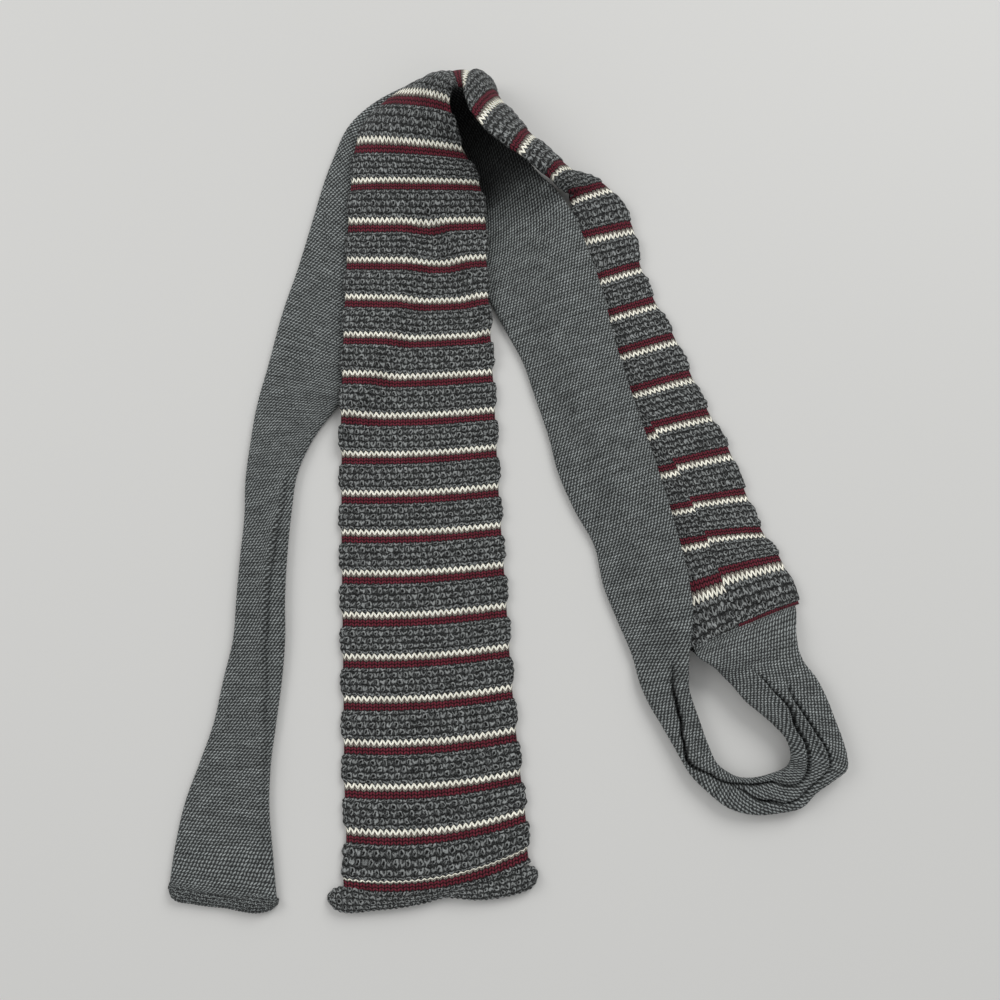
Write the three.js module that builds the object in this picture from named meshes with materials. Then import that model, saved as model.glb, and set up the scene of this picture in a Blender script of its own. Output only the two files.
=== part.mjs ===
import * as THREE from 'three';

// A knit tie, doubled up and laid on a flat surface. All lengths are in millimetres.
// The striped tube runs up the wide blade, turns over on its edge and comes down again;
// the plain tube goes on from there, through a twisted loop, up beside the striped leg,
// under the top of the blade and down to the narrow end.

// The tie as it lies: the places in the route tables are shares of these two.
const laidWidth = 257;
const laidLength = 345;

// The two knitted tubes, pressed flat.
const bladeFlatWidth = 70;
const tailFlatWidth = 42;
const knitThickness = 1.5;
const slitHeight = 1.0;
const flatThickness = 2 * knitThickness + slitHeight;

// Cross stripes of the blade: one repeat, and how far a grey band stands out past the stripe.
const stripeRepeat = 16.6;
const bandSwell = 1.1;
const evenSwell = 0.6;

// Hems: how far each reaches past its tube, and how high it stands.
const bladeHemDepth = 10.2;
const bladeHemHeight = 6.6;
const bladeHemOverhang = 3.0;
const tailHemDepth = 3.2;
const tailHemHeight = 4.6;

// Fits.
const clearance = 0.3;
const bendClearance = 1.2;
const layerGap = 0.4;
const drapeReach = 11;
const drapeMargin = 1;
const stationReach = 5.2;
const floorSink = 0.12;
const hemSink = 0.15;

// Fineness of the mesh.
const tailStationSpacing = 7.6;
const outerCorners = 16;
const innerCorners = 12;
const hemCorners = 12;

// How square the rings are, from 1 for round, and where a section counts as upright.
const outerSquareness = 0.62;
const innerSquareness = 0.7;
const hemSquareness = 0.8;
const leastUpright = 0.6;
const creaseFrom = 0.3;

// One row for each section, from the wide end on. x and y are shares of the laid width and
// length; turn is the direction across the tube and bank its slope, in degrees; width and bow
// are shares of the flat width, thick and lift shares of the flat thickness.
const stripedRoute = [
  { x: -0.109, y: -0.461, turn: 6, width: 1.01, bank: 0, bow: 0.00, thick: 1.00, lift: 0.00 },
  { x: -0.109, y: -0.425, turn: 2, width: 0.99, bank: 0, bow: 0.00, thick: 1.00, lift: 0.00 },
  { x: -0.116, y: -0.364, turn: 0, width: 0.97, bank: 0, bow: 0.00, thick: 1.00, lift: 0.00 },
  { x: -0.124, y: -0.273, turn: 0, width: 0.94, bank: 0, bow: 0.00, thick: 1.00, lift: 0.00 },
  { x: -0.133, y: -0.162, turn: 0, width: 0.93, bank: 0, bow: 0.00, thick: 1.00, lift: 0.00 },
  { x: -0.141, y: -0.046, turn: 0, width: 0.91, bank: 0, bow: 0.00, thick: 1.00, lift: 0.00 },
  { x: -0.145, y: 0.055, turn: 1, width: 0.90, bank: 0, bow: 0.00, thick: 1.00, lift: 0.00 },
  { x: -0.148, y: 0.145, turn: 2, width: 0.87, bank: 0, bow: 0.00, thick: 1.00, lift: 0.00 },
  { x: -0.149, y: 0.217, turn: 2, width: 0.85, bank: 0, bow: 0.00, thick: 1.00, lift: 0.00 },
  { x: -0.149, y: 0.289, turn: -1, width: 0.83, bank: 2, bow: 0.01, thick: 1.00, lift: 0.00 },
  { x: -0.155, y: 0.340, turn: -3, width: 0.79, bank: 5, bow: 0.03, thick: 1.00, lift: 0.00 },
  { x: -0.166, y: 0.390, turn: -12, width: 0.67, bank: 13, bow: 0.04, thick: 1.00, lift: 0.00 },
  { x: -0.147, y: 0.434, turn: -30, width: 0.51, bank: 36, bow: 0.06, thick: 1.00, lift: 0.00 },
  { x: -0.118, y: 0.449, turn: -52, width: 0.46, bank: 54, bow: 0.06, thick: 1.00, lift: 0.00 },
  { x: -0.076, y: 0.458, turn: -90, width: 0.49, bank: 54, bow: 0.06, thick: 1.00, lift: 0.00 },
  { x: -0.050, y: 0.441, turn: -108, width: 0.53, bank: 49, bow: 0.06, thick: 1.00, lift: 0.00 },
  { x: -0.031, y: 0.418, turn: -111, width: 0.51, bank: 47, bow: 0.06, thick: 1.00, lift: 0.00 },
  { x: 0.012, y: 0.375, turn: -113, width: 0.42, bank: 52, bow: 0.06, thick: 1.00, lift: 0.00 },
  { x: 0.048, y: 0.358, turn: -115, width: 0.34, bank: 50, bow: 0.06, thick: 1.05, lift: 0.00 },
  { x: 0.085, y: 0.345, turn: -132, width: 0.27, bank: 36, bow: 0.04, thick: 1.10, lift: 0.00 },
  { x: 0.123, y: 0.334, turn: -157, width: 0.23, bank: 4, bow: 0.01, thick: 1.10, lift: 0.00 },
  { x: 0.146, y: 0.285, turn: -165, width: 0.41, bank: 0, bow: 0.00, thick: 1.15, lift: 0.00 },
  { x: 0.147, y: 0.228, turn: -161, width: 0.51, bank: 0, bow: 0.00, thick: 1.10, lift: 0.00 },
  { x: 0.158, y: 0.177, turn: -161, width: 0.60, bank: 0, bow: 0.00, thick: 1.00, lift: 0.00 },
  { x: 0.181, y: 0.134, turn: -162, width: 0.64, bank: 0, bow: 0.00, thick: 1.00, lift: 0.00 },
  { x: 0.202, y: 0.090, turn: -163, width: 0.65, bank: 0, bow: 0.00, thick: 1.00, lift: 0.00 },
  { x: 0.228, y: 0.044, turn: -165, width: 0.65, bank: 0, bow: 0.00, thick: 1.00, lift: 0.00 },
  { x: 0.256, y: -0.002, turn: -166, width: 0.67, bank: 0, bow: 0.00, thick: 1.00, lift: 0.00 },
  { x: 0.277, y: -0.046, turn: -170, width: 0.66, bank: 0, bow: 0.00, thick: 1.00, lift: 0.00 },
  { x: 0.296, y: -0.088, turn: -175, width: 0.64, bank: 0, bow: 0.00, thick: 1.00, lift: 0.00 },
  { x: 0.320, y: -0.131, turn: -167, width: 0.67, bank: 1, bow: 0.00, thick: 1.00, lift: 0.05 },
  { x: 0.356, y: -0.190, turn: -160, width: 0.68, bank: 4, bow: 0.00, thick: 1.00, lift: 0.12 },
];

const plainRoute = [
  { x: 0.355, y: -0.194, turn: -159, width: 1.12, bank: 5, bow: 0.00, thick: 1.00, lift: 0.12 },
  { x: 0.356, y: -0.212, turn: -165, width: 0.98, bank: 8, bow: 0.00, thick: 1.05, lift: 0.22 },
  { x: 0.372, y: -0.234, turn: -172, width: 0.84, bank: 8, bow: 0.00, thick: 1.15, lift: 0.43 },
  { x: 0.391, y: -0.252, turn: -176, width: 0.81, bank: 7, bow: 0.00, thick: 1.25, lift: 0.52 },
  { x: 0.408, y: -0.272, turn: -178, width: 0.76, bank: 6, bow: 0.00, thick: 1.35, lift: 0.57 },
  { x: 0.424, y: -0.290, turn: -184, width: 0.69, bank: 6, bow: 0.00, thick: 1.45, lift: 0.53 },
  { x: 0.439, y: -0.307, turn: -190, width: 0.63, bank: 6, bow: 0.00, thick: 1.60, lift: 0.32 },
  { x: 0.450, y: -0.324, turn: -196, width: 0.58, bank: 7, bow: 0.00, thick: 1.70, lift: 0.20 },
  { x: 0.452, y: -0.338, turn: -198, width: 0.54, bank: 7, bow: 0.00, thick: 1.75, lift: 0.12 },
  { x: 0.443, y: -0.349, turn: -204, width: 0.45, bank: 8, bow: 0.00, thick: 1.75, lift: 0.12 },
  { x: 0.428, y: -0.359, turn: -218, width: 0.40, bank: 9, bow: 0.00, thick: 1.75, lift: 0.12 },
  { x: 0.409, y: -0.370, turn: -232, width: 0.44, bank: 6, bow: 0.00, thick: 1.75, lift: 0.12 },
  { x: 0.381, y: -0.374, turn: -248, width: 0.37, bank: 4, bow: 0.00, thick: 1.75, lift: 0.07 },
  { x: 0.353, y: -0.375, turn: -267, width: 0.31, bank: 4, bow: 0.00, thick: 1.75, lift: 0.03 },
  { x: 0.328, y: -0.369, turn: -287, width: 0.27, bank: 3, bow: 0.00, thick: 1.80, lift: 0.00 },
  { x: 0.304, y: -0.358, turn: -316, width: 0.22, bank: 4, bow: 0.00, thick: 1.80, lift: 0.00 },
  { x: 0.287, y: -0.345, turn: -342, width: 0.23, bank: 4, bow: 0.00, thick: 1.80, lift: 0.00 },
  { x: 0.271, y: -0.322, turn: -352, width: 0.26, bank: 3, bow: 0.00, thick: 1.70, lift: 0.05 },
  { x: 0.255, y: -0.297, turn: -355, width: 0.32, bank: 5, bow: 0.00, thick: 1.55, lift: 0.05 },
  { x: 0.239, y: -0.272, turn: -353, width: 0.38, bank: 7, bow: 0.00, thick: 1.40, lift: 0.05 },
  { x: 0.229, y: -0.252, turn: -353, width: 0.43, bank: 8, bow: 0.00, thick: 1.25, lift: 0.07 },
  { x: 0.224, y: -0.226, turn: -359, width: 0.51, bank: 0, bow: 0.00, thick: 1.10, lift: 0.00 },
  { x: 0.215, y: -0.179, turn: -356, width: 0.71, bank: 0, bow: 0.00, thick: 1.00, lift: 0.00 },
  { x: 0.202, y: -0.137, turn: -355, width: 0.80, bank: 0, bow: 0.00, thick: 1.00, lift: 0.00 },
  { x: 0.187, y: -0.086, turn: -354, width: 0.79, bank: 0, bow: 0.00, thick: 1.00, lift: 0.00 },
  { x: 0.163, y: -0.038, turn: -351, width: 0.88, bank: 0, bow: 0.00, thick: 1.00, lift: 0.00 },
  { x: 0.143, y: 0.001, turn: -353, width: 0.92, bank: 0, bow: 0.00, thick: 1.00, lift: 0.00 },
  { x: 0.125, y: 0.048, turn: -352, width: 0.90, bank: 0, bow: 0.00, thick: 1.00, lift: 0.00 },
  { x: 0.105, y: 0.096, turn: -353, width: 0.91, bank: 0, bow: 0.00, thick: 1.00, lift: 0.00 },
  { x: 0.089, y: 0.135, turn: -353, width: 0.93, bank: 0, bow: 0.00, thick: 1.00, lift: 0.00 },
  { x: 0.070, y: 0.175, turn: -351, width: 1.03, bank: 0, bow: 0.00, thick: 1.00, lift: 0.00 },
  { x: 0.045, y: 0.224, turn: -347, width: 1.09, bank: 0, bow: 0.00, thick: 1.00, lift: 0.00 },
  { x: 0.023, y: 0.272, turn: -340, width: 1.06, bank: 0, bow: 0.00, thick: 1.00, lift: 0.00 },
  { x: -0.002, y: 0.304, turn: -330, width: 1.04, bank: 0, bow: 0.00, thick: 1.00, lift: 0.00 },
  { x: -0.033, y: 0.338, turn: -318, width: 1.03, bank: 1, bow: 0.00, thick: 1.00, lift: 0.00 },
  { x: -0.081, y: 0.377, turn: -293, width: 1.21, bank: 0, bow: 0.00, thick: 1.00, lift: 0.00 },
  { x: -0.136, y: 0.390, turn: -276, width: 1.25, bank: 0, bow: 0.00, thick: 1.00, lift: 0.00 },
  { x: -0.187, y: 0.383, turn: -262, width: 1.25, bank: 0, bow: 0.00, thick: 1.00, lift: 0.00 },
  { x: -0.224, y: 0.359, turn: -248, width: 1.20, bank: 0, bow: 0.00, thick: 1.00, lift: 0.00 },
  { x: -0.240, y: 0.320, turn: -237, width: 1.12, bank: 0, bow: 0.00, thick: 1.00, lift: 0.00 },
  { x: -0.250, y: 0.272, turn: -219, width: 1.03, bank: 0, bow: 0.00, thick: 1.00, lift: 0.00 },
  { x: -0.263, y: 0.219, turn: -207, width: 1.02, bank: 0, bow: 0.00, thick: 1.00, lift: 0.00 },
  { x: -0.286, y: 0.158, turn: -203, width: 1.02, bank: 0, bow: 0.00, thick: 1.00, lift: 0.00 },
  { x: -0.312, y: 0.101, turn: -194, width: 0.90, bank: 0, bow: 0.00, thick: 1.00, lift: 0.00 },
  { x: -0.337, y: 0.063, turn: -185, width: 0.75, bank: 0, bow: 0.00, thick: 1.00, lift: 0.00 },
  { x: -0.357, y: 0.021, turn: -174, width: 0.60, bank: 0, bow: 0.00, thick: 1.05, lift: 0.00 },
  { x: -0.371, y: -0.019, turn: -173, width: 0.48, bank: 0, bow: 0.00, thick: 1.15, lift: 0.00 },
  { x: -0.376, y: -0.064, turn: -172, width: 0.43, bank: 0, bow: 0.00, thick: 1.20, lift: 0.00 },
  { x: -0.380, y: -0.111, turn: -177, width: 0.42, bank: 0, bow: 0.00, thick: 1.20, lift: 0.00 },
  { x: -0.381, y: -0.159, turn: -181, width: 0.44, bank: 0, bow: 0.00, thick: 1.20, lift: 0.00 },
  { x: -0.381, y: -0.206, turn: -180, width: 0.47, bank: 0, bow: 0.00, thick: 1.15, lift: 0.00 },
  { x: -0.388, y: -0.249, turn: -180, width: 0.51, bank: 0, bow: 0.00, thick: 1.10, lift: 0.00 },
  { x: -0.397, y: -0.297, turn: -180, width: 0.55, bank: 0, bow: 0.00, thick: 1.05, lift: 0.00 },
  { x: -0.409, y: -0.342, turn: -183, width: 0.62, bank: 0, bow: 0.00, thick: 1.00, lift: 0.00 },
  { x: -0.417, y: -0.385, turn: -184, width: 0.74, bank: 0, bow: 0.00, thick: 1.00, lift: 0.00 },
  { x: -0.420, y: -0.425, turn: -183, width: 0.84, bank: 0, bow: 0.00, thick: 1.00, lift: 0.00 },
  { x: -0.416, y: -0.478, turn: -189, width: 0.97, bank: 0, bow: 0.00, thick: 1.00, lift: 0.00 },
];

// Rows of the plain tube that the blade lies over, and rows of the striped tube that the
// plain tube lies over, counted from the first row of each table.
const underBlade = { first: 29, last: 46 };
const underTail = { first: 20, last: 31 };

// Folds along the plain tube. Each row holds a place along the tube as a share of its length,
// the place across it from -1 to 1, and the height of the rib or the depth of the groove as
// shares of the flat thickness.
const plainFolds = {
  rib: [
    { along: 0.767, across: -0.59, size: 0.00 },
    { along: 0.792, across: -0.53, size: 0.35 },
    { along: 0.812, across: -0.37, size: 0.50 },
    { along: 0.840, across: -0.23, size: 0.50 },
    { along: 0.867, across: -0.18, size: 0.45 },
    { along: 0.900, across: -0.46, size: 0.35 },
    { along: 0.931, across: -0.75, size: 0.30 },
    { along: 0.961, across: -0.80, size: 0.20 },
    { along: 0.990, across: -0.69, size: 0.00 },
  ],
  creaseA: [
    { along: 0.016, across: 0.30, size: 0.00 },
    { along: 0.034, across: 0.22, size: 0.28 },
    { along: 0.047, across: 0.11, size: 0.40 },
    { along: 0.065, across: 0.38, size: 0.45 },
    { along: 0.079, across: 0.46, size: 0.40 },
    { along: 0.095, across: 0.08, size: 0.20 },
    { along: 0.109, across: 0.68, size: 0.35 },
    { along: 0.127, across: 0.66, size: 0.30 },
    { along: 0.145, across: 0.11, size: 0.30 },
    { along: 0.156, across: -0.66, size: 0.35 },
    { along: 0.168, across: -0.28, size: 0.40 },
    { along: 0.179, across: 0.09, size: 0.40 },
    { along: 0.190, across: 0.28, size: 0.35 },
    { along: 0.204, across: 0.43, size: 0.20 },
    { along: 0.215, across: 0.42, size: 0.00 },
  ],
  creaseB: [
    { along: 0.028, across: -0.27, size: 0.00 },
    { along: 0.043, across: -0.15, size: 0.30 },
    { along: 0.061, across: -0.16, size: 0.45 },
    { along: 0.075, across: -0.26, size: 0.45 },
    { along: 0.085, across: -0.39, size: 0.20 },
    { along: 0.106, across: -0.50, size: 0.30 },
    { along: 0.114, across: -0.24, size: 0.35 },
    { along: 0.128, across: 0.34, size: 0.20 },
    { along: 0.137, across: 0.38, size: 0.00 },
  ],
};
const foldWidth = 0.22;

// The wide end's rolled hem, from its left end to its right one. at is a share of the blade's
// flat width; depth and height are shares of the hem's own.
const bladeHemShape = [
  { at: -0.55, depth: 0.42, height: 0.60, shift: 0.12 },
  { at: -0.53, depth: 0.80, height: 0.84, shift: -0.06 },
  { at: -0.47, depth: 0.96, height: 1.00, shift: 0.00 },
  { at: -0.30, depth: 1.00, height: 1.00, shift: 0.00 },
  { at: -0.12, depth: 0.98, height: 0.98, shift: 0.00 },
  { at: 0.02, depth: 0.86, height: 0.86, shift: 0.00 },
  { at: 0.15, depth: 1.04, height: 0.98, shift: 0.00 },
  { at: 0.32, depth: 1.05, height: 1.00, shift: 0.00 },
  { at: 0.43, depth: 0.96, height: 1.00, shift: 0.00 },
  { at: 0.485, depth: 0.78, height: 0.86, shift: 0.04 },
  { at: 0.50, depth: 0.36, height: 0.60, shift: 0.12 },
];

// The narrow end's hem, in the same columns.
const tailHemShape = [
  { at: -0.50, depth: 0.55, height: 0.70, shift: 0.0 },
  { at: -0.46, depth: 1.00, height: 1.00, shift: 0.0 },
  { at: 0.00, depth: 1.20, height: 0.96, shift: 0.0 },
  { at: 0.25, depth: 1.35, height: 0.96, shift: 0.0 },
  { at: 0.46, depth: 1.00, height: 1.00, shift: 0.0 },
  { at: 0.50, depth: 0.55, height: 0.70, shift: 0.0 },
];

const columns = ['x', 'y', 'turn', 'width', 'bank', 'bow', 'thick', 'lift'];

// Reads a route table at any distance from its first row.
function makeRoute(rows, flatWidth) {
  const distances = [0];
  for (let i = 1; i < rows.length; i += 1) {
    const stepX = (rows[i].x - rows[i - 1].x) * laidWidth;
    const stepY = (rows[i].y - rows[i - 1].y) * laidLength;
    distances.push(distances[i - 1] + Math.hypot(stepX, stepY));
  }
  const values = rows.flatMap((row) => columns.map((name) => row[name]));
  const curve = new THREE.CubicInterpolant(distances, values, columns.length);
  const at = (distance) => {
    const found = curve.evaluate(distance);
    const read = Object.fromEntries(columns.map((name, i) => [name, found[i]]));
    const turn = THREE.MathUtils.degToRad(read.turn);
    const bank = THREE.MathUtils.degToRad(read.bank);
    const across = new THREE.Vector3(Math.cos(turn), Math.sin(turn), 0);
    const up = new THREE.Vector3(0, 0, 1);
    return {
      distance,
      centre: new THREE.Vector3(read.x * laidWidth, read.y * laidLength, 0),
      across,
      sideways: across.clone().multiplyScalar(Math.cos(bank)).addScaledVector(up, Math.sin(bank)),
      faceOut: across.clone().multiplyScalar(-Math.sin(bank)).addScaledVector(up, Math.cos(bank)),
      width: read.width * flatWidth,
      bow: read.bow * flatWidth,
      thickness: read.thick * flatThickness,
      lift: Math.max(0, read.lift) * flatThickness,
    };
  };
  return { length: distances.at(-1), distances, at };
}

// Keeps a tube from being wider than its bend leaves room for on the inner side.
function fitBends(stations) {
  const room = stations.map((station, i) => {
    const before = stations[Math.max(0, i - 1)];
    const after = stations[Math.min(stations.length - 1, i + 1)];
    const turned = Math.abs(before.across.angleTo(after.across));
    const step = before.centre.distanceTo(after.centre);
    return turned > 1e-4 ? step / turned : Infinity;
  });
  return stations.map((station, i) => {
    const largest = 2 * (room[i] - bendClearance);
    const width = Math.min(station.width, Math.max(largest, station.thickness));
    return { ...station, width };
  });
}

// How high a tube has to rise at a point to pass over the tube beneath it.
function drapeOver(stations) {
  return (x, y) => {
    let height = 0;
    for (const station of stations) {
      const offsetX = x - station.centre.x;
      const offsetY = y - station.centre.y;
      const sideways = offsetX * station.across.x + offsetY * station.across.y;
      const along = Math.abs(-offsetX * station.across.y + offsetY * station.across.x);
      const half = (station.width / 2) * station.sideways.z;
      const slope = THREE.MathUtils.clamp(sideways / (station.width / 2), -1, 1) * half;
      const beyond = Math.abs(sideways) - station.width / 2 - drapeMargin;
      const inside = Math.min(-beyond, stationReach - along);
      const rise = THREE.MathUtils.smoothstep(inside, -drapeReach, 0);
      const top = station.lift + Math.abs(half) + slope + station.thickness + layerGap;
      height = Math.max(height, rise * top);
    }
    return height;
  };
}

// A closed ring of points with flattened sides, in shares of half the width and half the height.
function ringShape(corners, squareness) {
  const ring = [];
  for (let i = 0; i < corners; i += 1) {
    const angle = (2 * Math.PI * i) / corners;
    const cos = Math.cos(angle);
    const sin = Math.sin(angle);
    ring.push({
      side: Math.sign(cos) * Math.abs(cos) ** squareness,
      top: Math.sign(sin) * Math.abs(sin) ** squareness,
    });
  }
  return ring;
}

const outerRing = ringShape(outerCorners, outerSquareness);
const innerRing = ringShape(innerCorners, innerSquareness);

// Reads a fold table: the place across and the size of the fold at a share of the length.
function foldAt(rows, share) {
  if (!rows || share <= rows[0].along || share >= rows.at(-1).along) {
    return { across: 0, size: 0 };
  }
  const next = rows.findIndex((row) => row.along > share);
  const a = rows[next - 1];
  const b = rows[next];
  const t = THREE.MathUtils.smoothstep(share, a.along, b.along);
  return {
    across: THREE.MathUtils.lerp(a.across, b.across, t),
    size: THREE.MathUtils.lerp(a.size, b.size, t),
  };
}

const foldForm = (side, fold) => fold.size * Math.exp(-(((side - fold.across) / foldWidth) ** 2));

// Points of one section, outer or inner.
function sectionPoints(station, ring, inset, folds, drape) {
  const halfWidth = station.width / 2;
  const halfHeight = station.thickness / 2;
  const wanted = ring.map((corner) => {
    const side = corner.side * (1 - inset / halfWidth);
    const height = corner.top * (halfHeight - inset);
    const bulge = station.bow * (1 - side * side);
    const rib = foldForm(side, folds.rib) * flatThickness;
    const groove = corner.top > creaseFrom
      ? (foldForm(side, folds.creaseA) + foldForm(side, folds.creaseB)) * flatThickness
      : 0;
    const point = station.centre.clone()
      .addScaledVector(station.sideways, side * halfWidth)
      .addScaledVector(station.faceOut, bulge);
    const climb = drape(point.x, point.y);
    point.addScaledVector(station.faceOut, height + rib - groove);
    point.z += climb;
    return point;
  });
  return wanted;
}

function makeSection(station, length, foldTable, drape) {
  const share = station.distance / length;
  const folds = {
    rib: foldAt(foldTable.rib, share),
    creaseA: foldAt(foldTable.creaseA, share),
    creaseB: foldAt(foldTable.creaseB, share),
  };
  const lowEnd = (station.width / 2) * Math.abs(station.sideways.z);
  const upright = Math.max(station.faceOut.z, leastUpright);
  const base = station.lift + station.thickness / 2 * upright + lowEnd;
  const place = (ring, inset) => {
    const points = sectionPoints(station, ring, inset, folds, drape);
    for (const point of points) {
      point.z += base - floorSink;
      point.z = Math.max(point.z, inset);
    }
    return points;
  };
  return { outer: place(outerRing, 0), inner: place(innerRing, knitThickness) };
}

// Joins the sections into one closed wall: outer skin, inner skin and a rim at both ends.
function tubeGeometry(sections) {
  const positions = [];
  const indices = [];
  const put = (point) => {
    positions.push(point.x, point.y, point.z);
    return positions.length / 3 - 1;
  };
  const outer = sections.map((section) => section.outer.map(put));
  const inner = sections.map((section) => section.inner.map(put));
  const skin = (rings, flip) => {
    for (let i = 0; i + 1 < rings.length; i += 1) {
      const count = rings[i].length;
      for (let j = 0; j < count; j += 1) {
        const a = rings[i][j];
        const b = rings[i][(j + 1) % count];
        const c = rings[i + 1][(j + 1) % count];
        const d = rings[i + 1][j];
        if (flip) {
          indices.push(a, b, c, a, c, d);
        } else {
          indices.push(a, c, b, a, d, c);
        }
      }
    }
  };
  skin(outer, false);
  skin(inner, true);
  const rim = (outerLoop, innerLoop, flip) => {
    let i = 0;
    let j = 0;
    while (i < outerLoop.length || j < innerLoop.length) {
      const outerShare = (i + 1) / outerLoop.length;
      const innerShare = (j + 1) / innerLoop.length;
      const o = outerLoop[i % outerLoop.length];
      const n = innerLoop[j % innerLoop.length];
      let next;
      if (j >= innerLoop.length || (i < outerLoop.length && outerShare <= innerShare)) {
        next = outerLoop[(i + 1) % outerLoop.length];
        i += 1;
      } else {
        next = innerLoop[(j + 1) % innerLoop.length];
        j += 1;
      }
      if (flip) {
        indices.push(o, n, next);
      } else {
        indices.push(o, next, n);
      }
    }
  };
  rim(outer[0], inner[0], false);
  rim(outer.at(-1), inner.at(-1), true);
  const geometry = new THREE.BufferGeometry();
  geometry.setAttribute('position', new THREE.Float32BufferAttribute(positions, 3));
  geometry.setIndex(indices);
  geometry.computeVertexNormals();
  return geometry;
}

// A rolled hem: closed rings set side by side along the end of a tube.
function hemGeometry(end, outward, shape, size) {
  const ring = ringShape(hemCorners, hemSquareness);
  const positions = [];
  const indices = [];
  const rings = shape.map((row) => {
    const start = [];
    const halfDepth = (row.depth * size.depth) / 2;
    const halfHeight = (row.height * size.height) / 2;
    for (const corner of ring) {
      const reach = clearance + row.shift * size.depth + halfDepth * (1 + corner.side);
      const point = end.centre.clone()
        .addScaledVector(end.across, row.at * size.width)
        .addScaledVector(outward, reach);
      point.z = Math.max(0, halfHeight * (1 + corner.top) - hemSink);
      positions.push(point.x, point.y, point.z);
      start.push(positions.length / 3 - 1);
    }
    return start;
  });
  const right = new THREE.Vector3().crossVectors(outward, new THREE.Vector3(0, 0, 1));
  const flip = right.dot(end.across) < 0;
  const face = (a, b, c) => (flip ? indices.push(a, c, b) : indices.push(a, b, c));
  for (let i = 0; i + 1 < rings.length; i += 1) {
    for (let j = 0; j < hemCorners; j += 1) {
      const k = (j + 1) % hemCorners;
      face(rings[i][j], rings[i][k], rings[i + 1][k]);
      face(rings[i][j], rings[i + 1][k], rings[i + 1][j]);
    }
  }
  const cap = (loop, turned) => {
    for (let j = 1; j + 1 < hemCorners; j += 1) {
      if (turned) {
        face(loop[0], loop[j], loop[j + 1]);
      } else {
        face(loop[0], loop[j + 1], loop[j]);
      }
    }
  };
  cap(rings[0], false);
  cap(rings.at(-1), true);
  const geometry = new THREE.BufferGeometry();
  geometry.setAttribute('position', new THREE.Float32BufferAttribute(positions, 3));
  geometry.setIndex(indices);
  geometry.computeVertexNormals();
  return geometry;
}

// Places along the striped tube: three to each repeat, narrow at the stripe, full in the band.
const bandPlaces = [
  { share: 0.0, swell: 0.0 },
  { share: 0.24, swell: 0.9 },
  { share: 0.72, swell: 1.0 },
];

const stripedPath = makeRoute(stripedRoute, bladeFlatWidth);
const plainPath = makeRoute(plainRoute, tailFlatWidth);

function stripedStations() {
  const repeats = Math.round(stripedPath.length / stripeRepeat);
  const repeat = stripedPath.length / repeats;
  const stations = [];
  for (let i = 0; i < repeats; i += 1) {
    for (const place of bandPlaces) {
      const station = stripedPath.at((i + place.share) * repeat);
      stations.push({ ...station, swell: place.swell });
    }
  }
  stations.push({ ...stripedPath.at(stripedPath.length), swell: 0 });
  return fitBends(stations).map((station) => ({
    ...station,
    width: station.width + 2 * bandSwell * (station.swell - evenSwell),
  }));
}

function plainStations() {
  const count = Math.round(plainPath.length / tailStationSpacing);
  const stations = [];
  for (let i = 0; i <= count; i += 1) {
    const distance = (i / count) * plainPath.length;
    stations.push(plainPath.at(distance));
  }
  const bent = fitBends(stations);
  bent[0] = startAfter(striped.at(-1), bent[1]);
  return bent;
}

// The same section again, a clearance further on towards the next one.
function startAfter(last, next) {
  const along = new THREE.Vector3(-last.across.y, last.across.x, 0);
  if (along.dot(next.centre.clone().sub(last.centre)) < 0) {
    along.negate();
  }
  return { ...last, distance: 0, centre: last.centre.clone().addScaledVector(along, clearance) };
}

const between = (stations, path, rows) => stations.filter((station) => (
  station.distance >= path.distances[rows.first] && station.distance <= path.distances[rows.last]
));

const striped = stripedStations();
const plain = plainStations();
const overPlain = drapeOver(between(plain, plainPath, underBlade));
const overStriped = drapeOver(between(striped, stripedPath, underTail));
const noFolds = {};

// Only the blade's half of the striped tube lies over the plain tube.
const stripedSections = striped.map((station) => {
  const drape = station.distance < stripedPath.distances[underTail.first] ? overPlain : () => 0;
  return makeSection(station, stripedPath.length, noFolds, drape);
});

// The plain tube starts a clearance past the striped one, whose last section it repeats.
const plainSections = plain.map((station, i) => {
  const drape = i > 0 ? overStriped : () => 0;
  return makeSection(station, plainPath.length, plainFolds, drape);
});

const wideEnd = striped[0];
const narrowEnd = plain.at(-1);
const outOf = (end, inward) => {
  const outward = new THREE.Vector3(-end.across.y, end.across.x, 0);
  return outward.dot(inward) > 0 ? outward.negate() : outward;
};
const wideOutward = outOf(wideEnd, striped[1].centre.clone().sub(wideEnd.centre));
const narrowOutward = outOf(narrowEnd, plain.at(-2).centre.clone().sub(narrowEnd.centre));

const greyYarn = { color: 0x53585a, roughness: 0.95, metalness: 0 };
const stripedYarn = { color: 0x5c5557, roughness: 0.95, metalness: 0 };

function makePiece(name, geometry, finish) {
  const mesh = new THREE.Mesh(geometry, new THREE.MeshStandardMaterial(finish));
  mesh.name = name;
  return mesh;
}

const group = new THREE.Group();
group.add(makePiece('striped_blade', tubeGeometry(stripedSections), stripedYarn));
group.add(makePiece('plain_tail', tubeGeometry(plainSections), greyYarn));
group.add(makePiece('blade_hem', hemGeometry(wideEnd, wideOutward, bladeHemShape, {
  depth: bladeHemDepth,
  height: bladeHemHeight,
  width: wideEnd.width + 2 * bladeHemOverhang,
}), greyYarn));
group.add(makePiece('tail_hem', hemGeometry(narrowEnd, narrowOutward, tailHemShape, {
  depth: tailHemDepth,
  height: tailHemHeight,
  width: narrowEnd.width,
}), greyYarn));

// The tie lies centred on the origin, with its underside at height 0.
const middle = new THREE.Box3().setFromObject(group).getCenter(new THREE.Vector3());
group.position.set(-middle.x, -middle.y, 0);

export default group;
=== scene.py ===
import math

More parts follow.
